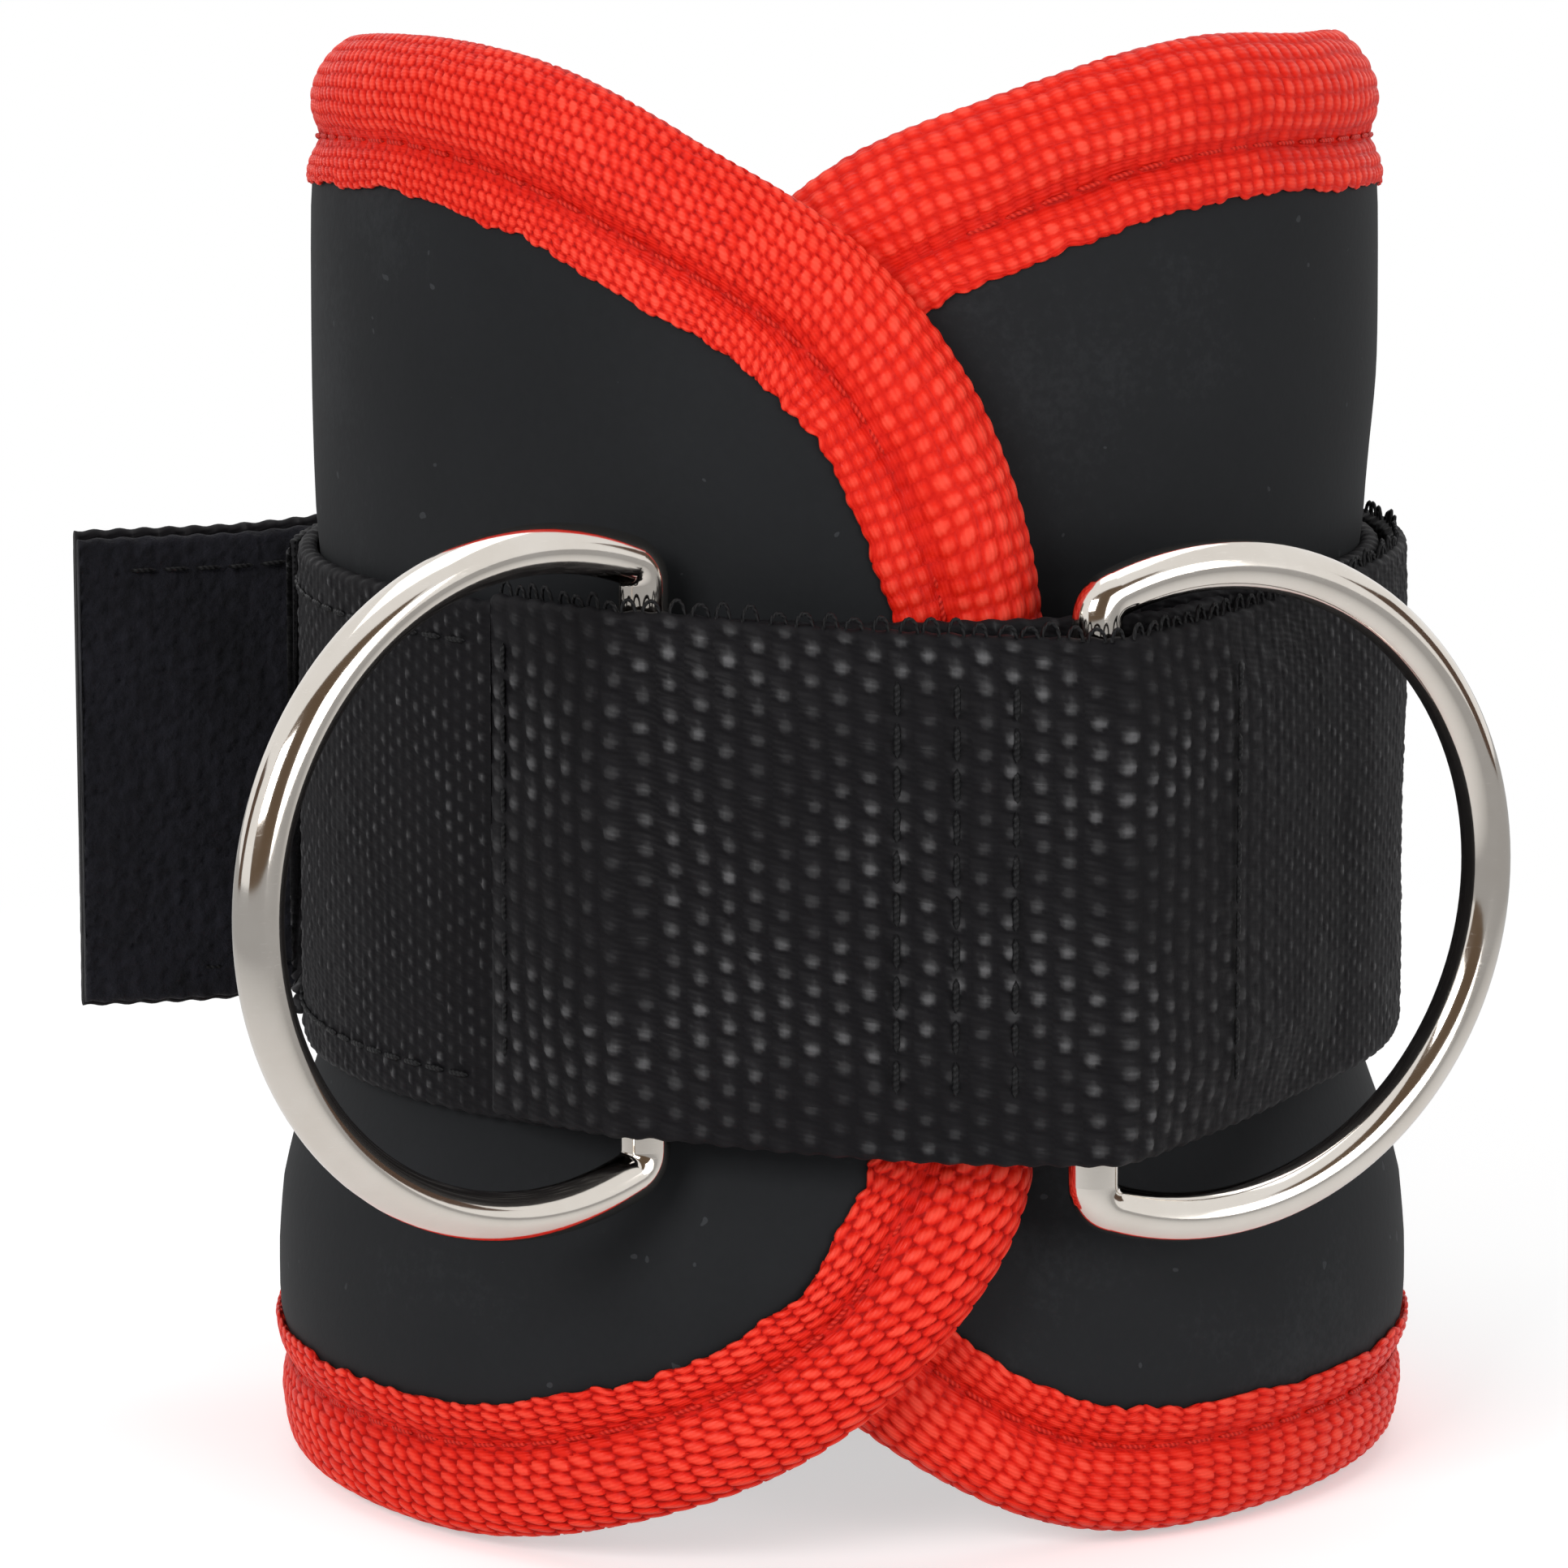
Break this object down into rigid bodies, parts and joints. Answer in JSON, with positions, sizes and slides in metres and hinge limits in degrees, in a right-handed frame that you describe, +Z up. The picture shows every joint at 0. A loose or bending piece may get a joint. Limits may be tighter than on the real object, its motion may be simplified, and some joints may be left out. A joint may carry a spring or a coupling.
{
  "type": "ankle cuff",
  "caption": "Padded ankle cuff with overlapping rounded ends, a webbing strap carrying a swinging D-ring on each side, and a hook-and-loop tail.",
  "frame": {"origin": "on the floor under the bottom rim, on the axis of the ankle opening", "axes": "+Z up along the ankle, -Y towards the front where the ends overlap and the rings hang, +X to the right seen from the front"},
  "size_m": [0.109, 0.1098, 0.108],
  "materials": {
    "neoprene_face": "smooth matt synthetic rubber face, dark grey",
    "foam": "closed-cell foam, dark grey",
    "lining": "brushed knit, black",
    "binding_tape": "coarse woven tape, bright red, slight sheen",
    "red_thread": "red sewing thread",
    "webbing": "woven polyester webbing, black, slight sheen",
    "black_thread": "black sewing thread",
    "pile": "fuzzy loop pile, black",
    "hook": "moulded hooks, black",
    "plated_steel": "polished nickel plating"
  },
  "bodies": {
    "cuff": {"outer_cover": "neoprene_face", "foam_core": "foam", "inner_lining": "lining", "edge_binding": "binding_tape", "binding_seam_outer": "red_thread", "binding_seam_inner": "red_thread", "base_webbing": "webbing", "base_webbing_seams": "black_thread", "closure_strap": "webbing", "strap_end_seam": "black_thread", "centre_seams": "black_thread", "right_tunnel_seam": "black_thread", "hook_tape": "hook", "hook_tape_seams": "black_thread"},
    "left_ring": {"left_ring": "plated_steel"},
    "right_ring": {"right_ring": "plated_steel"},
    "tail": {"strap_tail": "webbing", "pile_tape": "pile", "pile_tape_seams": "black_thread"}
  },
  "joints": [
    {"name": "left_ring_swing", "type": "hinge", "parent": "cuff", "child": "left_ring", "pos_m": [-0.016, -0.04407, 0.0523], "axis": [0, 0, 1], "range_deg": [-66, 62]},
    {"name": "right_ring_swing", "type": "hinge", "parent": "cuff", "child": "right_ring", "pos_m": [0.016, -0.04407, 0.0497], "axis": [0, 0, -1], "range_deg": [-5, 134]},
    {"name": "tail_peel", "type": "hinge", "parent": "cuff", "child": "tail", "pos_m": [-0.03027, 0.03157, 0.051], "axis": [0, 0, -1], "range_deg": [0, 60]}
  ]
}
